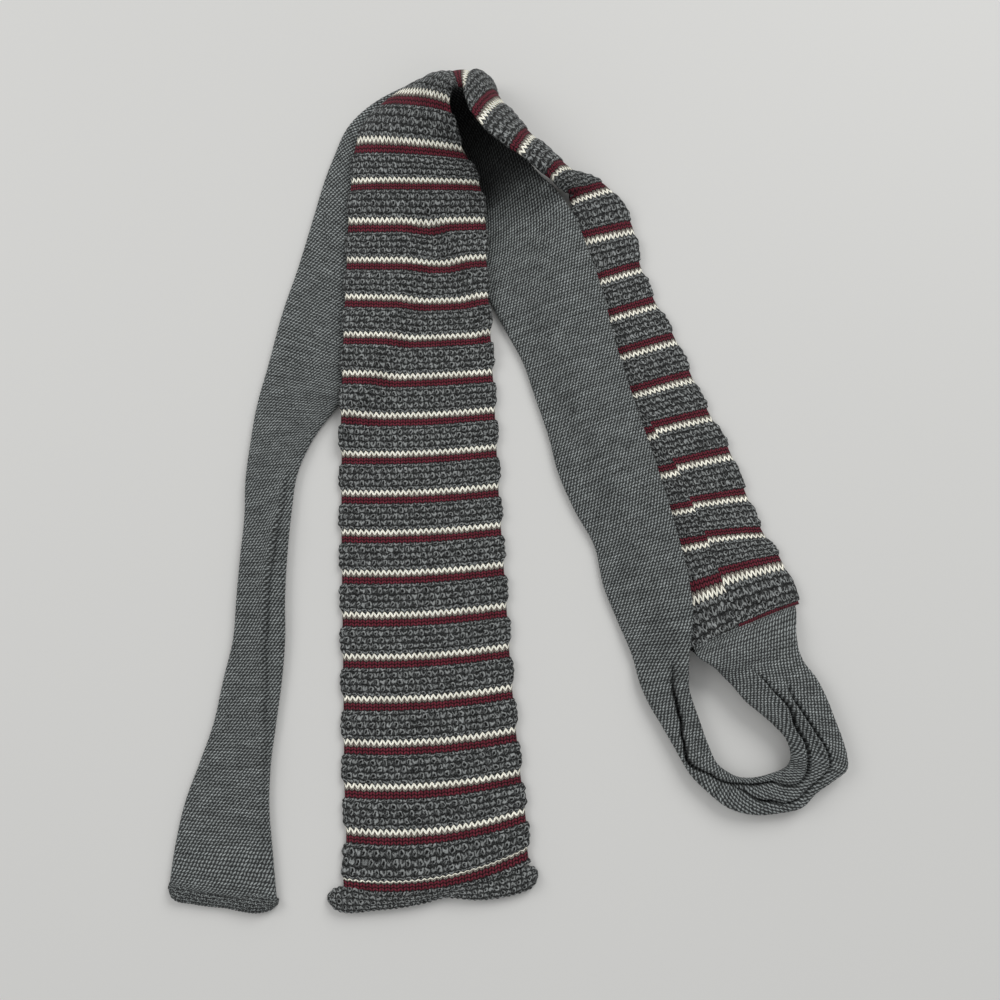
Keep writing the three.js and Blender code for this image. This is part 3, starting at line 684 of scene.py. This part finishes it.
class Route:
    def __init__(self, rows, flatWidth):
        self.values = np.array(rows, float)
        steps = np.diff(self.values[:, :2], axis=0) * (lie["width"], lie["length"])
        self.places = np.concatenate([[0.0], np.cumsum(np.hypot(steps[:, 0], steps[:, 1]))])
        self.flatWidth = flatWidth
        self.length = self.places[-1]

    def at(self, distance):
        inside = np.clip(distance, 0, self.length)
        found = smoothRead(self.places, self.values, inside)
        turn, bank = np.radians(found[:, 2]), np.radians(found[:, 4])
        across = np.stack([np.cos(turn), np.sin(turn), 0 * turn], 1)
        upright = np.array([0.0, 0.0, 1.0])
        cosBank, sinBank = np.cos(bank)[:, None], np.sin(bank)[:, None]
        centre = np.stack([found[:, 0] * lie["width"], found[:, 1] * lie["length"], 0 * turn], 1)
        along = np.stack([-across[:, 1], across[:, 0], 0 * turn], 1)
        centre += along * (distance - inside)[:, None]
        return {
            "distance": distance,
            "turn": turn,
            "centre": centre,
            "across": across,
            "along": along,
            "sideways": across * cosBank + upright * sinBank,
            "faceOut": upright * cosBank - across * sinBank,
            "width": found[:, 3] * self.flatWidth,
            "bow": found[:, 5] * self.flatWidth,
            "thickness": found[:, 6] * lie["thickness"],
            "lift": np.maximum(0, found[:, 7]) * lie["thickness"],
        }


def bendLimit(stations):  # how wide a tube can be in its bends
    last = len(stations["distance"]) - 1
    before = np.maximum(np.arange(last + 1) - 1, 0)
    after = np.minimum(np.arange(last + 1) + 1, last)
    turned = np.abs(stations["turn"][after] - stations["turn"][before])
    step = np.linalg.norm(stations["centre"][after] - stations["centre"][before], axis=1)
    room = np.where(turned > 1e-4, step / np.maximum(turned, 1e-4), 1e6)
    return np.maximum(2 * (room - lie["bendClearance"]), stations["thickness"])


def easeStep(value, low, high):
    t = np.clip((value - low) / (high - low), 0, 1)
    return t * t * (3 - 2 * t)


def climbOver(points, under):  # how high a tube rises at its points to pass over another
    height = np.zeros(len(points))
    for i in range(len(under["distance"])):
        offset = points[:, :2] - under["centre"][i, :2]
        ax, ay = under["across"][i, :2]
        halfWidth = under["width"][i] / 2
        sideways = offset[:, 0] * ax + offset[:, 1] * ay
        along = np.abs(-offset[:, 0] * ay + offset[:, 1] * ax)
        half = halfWidth * under["sideways"][i, 2]
        slope = np.clip(sideways / halfWidth, -1, 1) * half
        beyond = np.abs(sideways) - halfWidth - lie["drapeMargin"]
        inside = np.minimum(-beyond, lie["stationReach"] - along)
        rise = easeStep(inside, -lie["drapeReach"], 0)
        top = under["lift"][i] + abs(half) + slope + under["thickness"][i] + lie["layerGap"]
        height = np.maximum(height, rise * top)
    return height


def ringPlaces(topCount, bottomCount, halfWidth, halfHeight):
    # evenly spaced points on a flattened ring, over the top from left to right and back below
    angle = np.linspace(math.pi, 0, 6001)
    side = np.sign(np.cos(angle)) * np.abs(np.cos(angle)) ** lie["squareness"]
    rise = np.abs(np.sin(angle)) ** lie["squareness"]
    arc = np.concatenate([[0], np.cumsum(np.hypot(np.diff(side) * halfWidth,
                                                   np.diff(rise) * halfHeight))])
    above = np.linspace(0, arc[-1], topCount + 1)
    below = np.linspace(arc[-1], 0, bottomCount + 1)[1:]
    sides = np.concatenate([np.interp(above, arc, side), np.interp(below, arc, side)])
    rises = np.concatenate([np.interp(above, arc, rise), -np.interp(below, arc, rise)])
    return sides, rises


def foldRead(rows, share):
    table = np.array(rows)
    place = np.clip(share, table[0, 0], table[-1, 0])
    i = np.clip(np.searchsorted(table[:, 0], place, side="right"), 1, len(table) - 1)
    t = easeStep(place, table[i - 1, 0], table[i, 0])
    across = table[i - 1, 1] + (table[i, 1] - table[i - 1, 1]) * t
    size = table[i - 1, 2] + (table[i, 2] - table[i - 1, 2]) * t
    inside = (share > table[0, 0]) & (share < table[-1, 0])
    return across, size * inside


def tubePoints(stations, sides, rises, climb, ribs=None, grooves=None, slide=None):
    # points of the tube's skin: one row for each station, one column for each ring place
    side = sides[None, :, None]
    half = stations["width"][:, None, None] / 2
    thick = stations["thickness"][:, None, None] / 2
    faceOut = stations["faceOut"][:, None, :]
    points = stations["centre"][:, None, :] + stations["sideways"][:, None, :] * side * half
    points = points + faceOut * stations["bow"][:, None, None] * (1 - side * side)
    if slide is not None:
        points = points + stations["along"][:, None, :] * slide[:, :, None]
    flat = points.reshape(-1, 3)
    rise = climb(flat).reshape(points.shape[:2])
    height = rises[None, :, None] * thick
    if ribs is not None:
        height = height + ribs[:, :, None]
    if grooves is not None:
        height = height - grooves[:, :, None] * (rises[None, :, None] > lie["creaseFrom"])
    points = points + faceOut * height
    lowEnd = stations["width"] / 2 * np.abs(stations["sideways"][:, 2])
    upright = np.maximum(stations["faceOut"][:, 2], lie["leastUpright"])
    base = stations["lift"] + stations["thickness"] / 2 * upright
    points[:, :, 2] += rise + (base + lowEnd - lie["floorSink"])[:, None]
    points[:, :, 2] = np.maximum(points[:, :, 2], 0)
    return points


def skinNormals(points):  # outward directions of a closed tube of points
    body = points[:, :-1]
    around = np.roll(body, -1, axis=1) - np.roll(body, 1, axis=1)
    forward = np.gradient(body, axis=0)
    normals = np.cross(around, forward)
    normals /= np.maximum(np.linalg.norm(normals, axis=2, keepdims=True), 1e-9)
    out = body - body.mean(axis=1, keepdims=True)
    if (normals * out).sum() < 0:
        normals = -normals
    return np.concatenate([normals, normals[:, :1]], axis=1)


def raised(points, relief):  # the skin moved outwards by its relief, never below the board
    points = points + skinNormals(points) * relief[:, :, None]
    points[:, :, 2] = np.maximum(points[:, :, 2], 0)
    points[:, -1] = points[:, 0]
    return points


def makeSkin(name, points, stitches, courses, finish, paintedShades=None):
    # a flat grid with one column too many is wrapped round into the tube, then closed
    rowsUp, columns = points.shape[0] - 1, points.shape[1] - 1
    bpy.ops.object.select_all(action="DESELECT")
    bpy.ops.mesh.primitive_grid_add(x_subdivisions=columns, y_subdivisions=rowsUp, size=2)
    piece = bpy.context.object
    piece.name = name
    piece.data.name = name
    mesh = piece.data
    count = len(mesh.vertices)
    flat = np.zeros(count * 3)
    mesh.vertices.foreach_get("co", flat)
    flat = flat.reshape(-1, 3)
    i = np.rint((flat[:, 0] + 1) / 2 * columns).astype(int)
    j = np.rint((flat[:, 1] + 1) / 2 * rowsUp).astype(int)
    placed = points[j, i].copy()
    placed[:, 0] += lie["shift"][0]
    placed[:, 1] += lie["shift"][1]
    mesh.vertices.foreach_set("co", (placed * mm).ravel())
    uv = mesh.uv_layers.active
    uv.name = "knit"
    corner = np.zeros(len(mesh.loops), int)
    mesh.loops.foreach_get("vertex_index", corner)
    pairs = np.stack([stitches[j[corner], i[corner]], courses[j[corner], i[corner]]], 1)
    uv.data.foreach_set("uv", pairs.ravel())
    # painted shade, kept on each point for the knit's colour
    if paintedShades is not None:
        crease = mesh.attributes.new("crease", "FLOAT", "POINT")
        crease.data.foreach_set("value", paintedShades[j, i].ravel())
    mesh.update()
    bpy.ops.object.mode_set(mode="EDIT")
    bpy.ops.mesh.select_all(action="SELECT")
    bpy.ops.mesh.remove_doubles(threshold=2e-6)
    bpy.ops.mesh.select_all(action="SELECT")
    bpy.ops.mesh.fill_holes(sides=0)
    bpy.ops.mesh.select_all(action="SELECT")
    bpy.ops.mesh.normals_make_consistent(inside=False)
    bpy.ops.object.mode_set(mode="OBJECT")
    bpy.ops.object.shade_smooth()
    mesh.materials.append(finish)
    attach(piece, "root")
    return piece


stripedPath = Route(stripedRoute, lie["bladeWidth"])
plainPath = Route(plainRoute, lie["tailWidth"])


def coarseStriped():
    repeats = round(stripedPath.length / lie["repeatLength"])
    repeat = stripedPath.length / repeats
    places = [(i + share) * repeat for i in range(repeats) for share in lie["bandPlaces"]]
    swell = np.array(lie["bandShape"] * repeats + [0.0])
    found = stripedPath.at(np.array(places + [stripedPath.length]))
    found["limit"] = bendLimit(found)
    found["width"] = np.minimum(found["width"], found["limit"])
    found["width"] = found["width"] + 2 * lie["bandSwell"] * (swell - lie["evenSwell"])
    return found


def coarsePlain():
    count = round(plainPath.length / lie["plainStation"])
    found = plainPath.at(np.linspace(0, plainPath.length, count + 1))
    found["limit"] = bendLimit(found)
    found["width"] = np.minimum(found["width"], found["limit"])
    return found


def between(stations, path, rows):
    low, high = path.places[rows[0]], path.places[rows[1]]
    keep = (stations["distance"] >= low) & (stations["distance"] <= high)
    return {key: value[keep] for key, value in stations.items()}


stripedCoarse, plainCoarse = coarseStriped(), coarsePlain()
tailUnder = between(plainCoarse, plainPath, underBlade)
bladeUnder = between(stripedCoarse, stripedPath, underTail)


# Striped blade

blade = {
    "topPlaces": 66,
    "bottomPlaces": 32,
    "stripeDip": 0.38,  # millimetres
    "ringRise": 0.34,
    "edgeSwell": 0.75,
    "edgeLobes": 0.32,
    "edgeUneven": 0.28,
    "undulation": 0.18,
    "ringSize": (33, 2),  # half the width and height that the ring's places are spread for
    "tuckShares": (-0.10, -0.05),  # of a repeat, under the hem
    "endMargin": 0.3,
    "bandStart": (3.9, 5.4),  # rows over which the band swells and sinks
    "bandEnd": (8.3, 9.0),
    "chequerDip": 0.35,
    "flatSize": (0.070, 0.596),
}


def repeatStations():
    # the repeat number of each station, and where it lies along the tube
    numbers = []
    for k in range(len(repeatStarts) - 1):
        for r, row in enumerate(repeatRows):
            numbers += [k + rowStarts[r] + row[0] * part / row[1] for part in range(row[1])]
    numbers = np.array(numbers)
    distances = np.interp(numbers, np.arange(len(repeatStarts)), repeatStarts)
    keep = distances < stripedPath.length - blade["endMargin"]
    last = np.interp(stripedPath.length, distances, numbers)
    before = np.array(blade["tuckShares"])
    numbers = np.concatenate([before, numbers[keep], [last]])
    distances = np.concatenate([repeatStarts[0] + before * lie["repeatLength"], distances[keep],
                                [stripedPath.length]])
    return numbers, distances


def rowsOf(repeat):
    return np.interp(np.mod(repeat, 1), rowStarts, np.arange(rowCount + 1))


def bandProfile(repeat):  # 0 in the stripes, 1 in the grey band, with a lobe to each row
    row = rowsOf(repeat)
    full = easeStep(row, *blade["bandStart"]) * (1 - easeStep(row, *blade["bandEnd"]))
    inBand = (row >= rings["first"]) & (row < rings["last"] + 1)
    lobe = np.where(inBand, np.sin(math.pi * np.mod(row, 1)), 0)
    return full, lobe


def ringRelief(stitch, repeat):  # raised bumps in a chequer board on the grey band
    row = rowsOf(repeat)
    inBand = (row >= rings["first"]) & (row < rings["last"] + 1)
    chequer = np.mod(np.floor(stitch) + np.floor(row) + np.floor(repeat), 2)
    bump = np.sin(math.pi * np.mod(stitch, 1)) * np.sin(math.pi * np.mod(row, 1))
    return inBand * (chequer - blade["chequerDip"]) * bump


def stitchNumbers(width, stitchWidth, topCount, bottomCount, roundCount):
    # evenly over the upper face, and the rest of the round below
    above = np.linspace(-0.5, 0.5, topCount + 1)[None, :] * (width / stitchWidth)[:, None]
    part = (np.arange(bottomCount) + 1)[None, :] / bottomCount
    faceCount = (width / stitchWidth)[:, None]
    below = faceCount / 2 + part * (roundCount - faceCount)
    return np.concatenate([above, below], axis=1)


def makeBlade():
    numbers, distances = repeatStations()
    stations = stripedPath.at(distances)
    limit = np.interp(distances, stripedCoarse["distance"], stripedCoarse["limit"])
    stations["width"] = np.minimum(stations["width"], limit)
    table = np.array(courseLie)
    bow, lean, stitchWidth, creep = (
        np.interp(distances, table[:, 0], table[:, c]) for c in (1, 2, 3, 4))
    stitch = stitchNumbers(stations["width"], stitchWidth, blade["topPlaces"],
                           blade["bottomPlaces"], colourSeam["round"]) + creep[:, None]
    full, lobe = bandProfile(numbers)
    uneven = np.sin(distances * 0.71) + np.sin(distances * 1.93 + 1.0)
    stations["width"] = stations["width"] + 2 * (
        blade["edgeSwell"] * (full - 0.5) + blade["edgeLobes"] * (lobe - 0.5) * full
        + blade["edgeUneven"] * uneven * full / 2)
    sides, rises = ringPlaces(blade["topPlaces"], blade["bottomPlaces"], *blade["ringSize"])
    side = sides[None, :]
    slide = lean[:, None] * side + bow[:, None] * side * side
    repeat = np.repeat(numbers[:, None], len(sides), axis=1)

    def climb(points):
        height = np.zeros(len(points))
        overTail = np.repeat(distances < stripedPath.places[underTail[0]], len(sides))
        height[overTail] = climbOver(points[overTail], tailUnder)
        return height

    points = tubePoints(stations, sides, rises, climb, slide=slide)
    turned = np.mod((colourSeam["stitch"] - stitch) / colourSeam["round"], 1)
    jogged = repeat + colourSeam["jog"] * turned - colourSeam["settle"]
    bandFull, _ = bandProfile(jogged)
    relief = blade["ringRise"] * ringRelief(stitch, jogged) - blade["stripeDip"] * (1 - bandFull)
    wave = np.sin(distances[:, None] * 0.061 + side * 1.7) * np.sin(side * 2.3 + 0.8)
    relief = relief + blade["undulation"] * wave * np.maximum(rises[None, :], 0)
    points = raised(points, relief)
    return makeSkin("stripedTube", points, stitch, repeat, stripedKnit())


bladePiece = makeBlade()
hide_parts("striped_blade")
print("blade done")


# Plain tail

tail = {
    "topPlaces": 44,
    "bottomPlaces": 20,
    "courseLength": 1.72,  # millimetres
    "stitchWidth": 1.27,
    "stitchesRound": 68,
    "rowRise": 0.16,
    "foldSteep": 0.7,
    "foldGentle": 2.4,
    "creaseDepth": 1.9,
    "creaseReach": 0.55,
    "lipRise": 0.9,
    "lipPlace": 2.1,
    "lipReach": 1.5,
    "undulation": 0.34,
    "tuckIn": 1.5,
    "startNarrow": 1.4,
    "startThin": 0.25,
    "startReach": 4.0,
    "climbReach": 16.0,
    "ribRise": 1.5,
    "ringSize": (20, 2),
    # painted shade: beside the rib, in the creases and on the rows under the fold
    "ribShade": 1.2,
    "ribShadePlace": 2.2,
    "ribShadeReach": 0.45,
    "creasePaintedShade": 3,
    "shadeRows": (33, 34, 36, 37),  # rows of the route under the fold, painted dark as deep shade
    "shade": 0.92,
    "courseLean": [(0, 0.0), (150, 0.0), (210, 3.4), (330, 3.4), (390, 1.0), (460, 0.0)],
    "flatSize": (0.042, 0.713),
}


def makeTail():
    courseCount = round(plainPath.length / tail["courseLength"])
    numbers = np.arange(0, courseCount * 3 + 1) / 3
    distances = numbers / courseCount * plainPath.length
    numbers = np.concatenate([[-1.0], numbers])
    distances = np.concatenate([[-tail["tuckIn"]], distances])
    stations = plainPath.at(distances)
    limit = np.interp(distances, plainCoarse["distance"], plainCoarse["limit"])
    stations["width"] = np.minimum(stations["width"], limit)
    tucked = 1 - easeStep(distances, 0, tail["startReach"])
    stations["width"] = stations["width"] - tail["startNarrow"] * tucked
    stations["thickness"] = stations["thickness"] * (1 - tail["startThin"] * tucked)

    sides, rises = ringPlaces(tail["topPlaces"], tail["bottomPlaces"], *tail["ringSize"])
    side = sides[None, :]
    share = distances / plainPath.length

    def foldPlace(rows):
        across, size = foldRead(rows, share)
        return (side - across[:, None]) * stations["width"][:, None] / 2, size[:, None]

    def hill(away, reach):
        return np.exp(-(away / reach) ** 2)

    away, size = foldPlace(plainFolds["rib"])
    ribSide = np.where(away < 0, tail["foldSteep"], tail["foldGentle"])
    ribs = tail["ribRise"] * size * hill(away, ribSide) * lie["thickness"]
    # painted shade along the steep side of the rib
    ribEdge = away + tail["ribShadePlace"] * tail["foldSteep"]
    paintedShades = tail["ribShade"] * size * hill(ribEdge, tail["ribShadeReach"])
    grooves = 0
    for rows in (plainFolds["creaseA"], plainFolds["creaseB"]):  # a cut with a lip beside it
        away, size = foldPlace(rows)
        cut = hill(away, tail["creaseReach"])
        lip = hill(away - tail["lipPlace"], tail["lipReach"])
        grooves = grooves + size * lie["thickness"] * (
            tail["creaseDepth"] * cut - tail["lipRise"] * lip)
        # painted shade in each cut
        paintedShades = paintedShades + np.minimum(size * tail["creasePaintedShade"], 1) * cut
    paintedShades = np.clip(paintedShades, 0, 1) * (rises[None, :] > lie["creaseFrom"])
    # painted shade on the rows under the fold, where little light gets in
    rowPlaces = [plainPath.places[row] for row in tail["shadeRows"]]
    shaded = easeStep(distances, rowPlaces[0], rowPlaces[1]) * (
        1 - easeStep(distances, rowPlaces[2], rowPlaces[3]))
    paintedShades = np.maximum(paintedShades, tail["shade"] * shaded[:, None])

    stitch = stitchNumbers(stations["width"], np.full(len(distances), tail["stitchWidth"]),
                           tail["topPlaces"], tail["bottomPlaces"], tail["stitchesRound"])
    course = np.repeat(numbers[:, None], len(sides), axis=1)

    def climb(points):
        onto = easeStep(np.repeat(distances, len(sides)), 0, tail["climbReach"])
        return climbOver(points, bladeUnder) * onto

    leanTable = np.array(tail["courseLean"])
    slide = np.interp(distances, leanTable[:, 0], leanTable[:, 1])[:, None] * side
    points = tubePoints(stations, sides, rises, climb, ribs, grooves, slide)
    rows = 0.5 - 0.5 * np.cos(2 * math.pi * np.mod(course, 1))
    relief = tail["rowRise"] * (rows - 0.5)
    wave = np.sin(distances[:, None] * 0.083 + side * 2.1) * np.sin(side * 2.9 + 0.4)
    relief = relief + tail["undulation"] * wave * np.maximum(rises[None, :], 0)
    points = raised(points, relief)
    return makeSkin("plainTube", points, stitch, course, plainKnit(), paintedShades)


tailPiece = makeTail()
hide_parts("plain_tail")
print("tail done")


# Hems

# place along the hem as a share of the end's width, then where it starts and stops past the
# tube's end line in millimetres, and its height as a share of the hem's own
wideHem = {
    "height": 5.2,
    "bump": 0.6,
    "width": 71.0,
    "stitches": 34,
    "courseLength": 2.4,
    "shape": [
        (-0.580, 2.2, 4.0, 0.35), (-0.560, 0.6, 6.2, 0.66), (-0.520, -0.4, 8.2, 0.88),
        (-0.474, -0.6, 9.0, 0.98), (-0.341, 2.2, 9.1, 1.00), (-0.262, 3.2, 9.2, 1.00),
        (-0.151, 4.2, 8.9, 1.00), (-0.056, 4.3, 8.2, 0.97), (0.040, 3.8, 7.3, 0.90),
        (0.110, 3.2, 8.2, 0.96), (0.183, 2.4, 9.3, 1.00), (0.320, 1.2, 9.6, 1.00),
        (0.447, -0.1, 8.4, 0.97), (0.490, -0.5, 7.4, 0.88), (0.511, 0.0, 6.2, 0.66),
        (0.532, 1.4, 4.2, 0.35),
    ],
}
narrowHem = {
    "height": 4.1,
    "bump": 0.25,
    "width": 42.0,
    "stitches": 33,
    "courseLength": 1.7,
    "shape": [
        (-0.49, -1.4, 0.8, 0.72), (-0.45, -2.0, 2.6, 0.97), (0.00, -2.0, 4.8, 0.97),
        (0.25, -2.0, 5.2, 0.97), (0.45, -2.0, 4.0, 0.97), (0.49, -1.4, 1.6, 0.72),
    ],
}
# the section runs from under the tube's end over the top and back, in shares of the roll's
# depth and height; the depth and height here only space the courses round it
roll = {
    "ringPlaces": 44,
    "stitchPlaces": 5,
    "depth": 10,
    "height": 5,
    "section": [
        (0.02, 0.00), (0.00, 0.35), (0.03, 0.66), (0.20, 0.80), (0.42, 0.93), (0.62, 1.00),
        (0.80, 0.95), (0.93, 0.76), (1.00, 0.46), (0.97, 0.14), (0.86, 0.00), (0.45, 0.00),
        (0.02, 0.00),
    ],
}


def makeHem(name, end, outward, hem, finish):
    # sections set side by side along the end of a tube
    ringCount, places = roll["ringPlaces"], roll["stitchPlaces"] * hem["stitches"]
    shape = np.array(hem["shape"])
    at = np.linspace(shape[0, 0], shape[-1, 0], places + 1)
    start, stop, tall = (smoothRead(shape[:, 0], shape[:, 1:], at)[:, c] for c in (0, 1, 2))
    section = np.array(roll["section"])
    corner = np.arange(len(section), dtype=float)
    ring = smoothRead(corner, section, np.linspace(0, corner[-1], ringCount + 1))
    reach = start[:, None] + (stop - start)[:, None] * ring[None, :, 0]
    rise = np.maximum(ring[None, :, 1], 0) * tall[:, None] * hem["height"]
    line = end["centre"] + end["across"] * (at * hem["width"])[:, None]
    points = line[:, None, :] + outward * reach[:, :, None]
    points[:, :, 2] = rise
    stitch = np.repeat((at * hem["stitches"])[:, None], ringCount + 1, axis=1)
    steps = np.hypot(np.diff(ring[:, 0]) * roll["depth"], np.diff(ring[:, 1]) * roll["height"])
    around = np.concatenate([[0], np.cumsum(steps)]) / hem["courseLength"]
    course = np.repeat(around[None, :], places + 1, axis=0)
    bump = np.sin(math.pi * np.mod(stitch, 1)) * np.sin(math.pi * np.mod(course, 1))
    points = raised(points, hem["bump"] * (bump - 0.5))
    return makeSkin(name, points, stitch, course, finish)


def endOf(path, distance, towards):
    one = path.at(np.array([distance, distance + towards]))
    end = {key: value[0] for key, value in one.items()}
    inward = one["centre"][1] - one["centre"][0]
    outward = end["along"] * (-1 if np.dot(end["along"], inward) > 0 else 1)
    return end, outward


wideFinish = hemKnit("wideHemKnit", "grey")
narrowFinish = hemKnit("narrowHemKnit", "plainGrey")
wideEnd, wideOut = endOf(stripedPath, 0.0, 1.0)
bladeHem = makeHem("wideHem", wideEnd, wideOut, wideHem, wideFinish)
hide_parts("blade_hem")
narrowEnd, narrowOut = endOf(plainPath, plainPath.length, -1.0)
tailHem = makeHem("narrowHem", narrowEnd, narrowOut, narrowHem, narrowFinish)
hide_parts("tail_hem")
print("hems done")

for piece in (bladePiece, tailPiece, bladeHem, tailHem):
    triangles = sum(len(face.vertices) - 2 for face in piece.data.polygons)
    print(piece.name, triangles, "triangles")
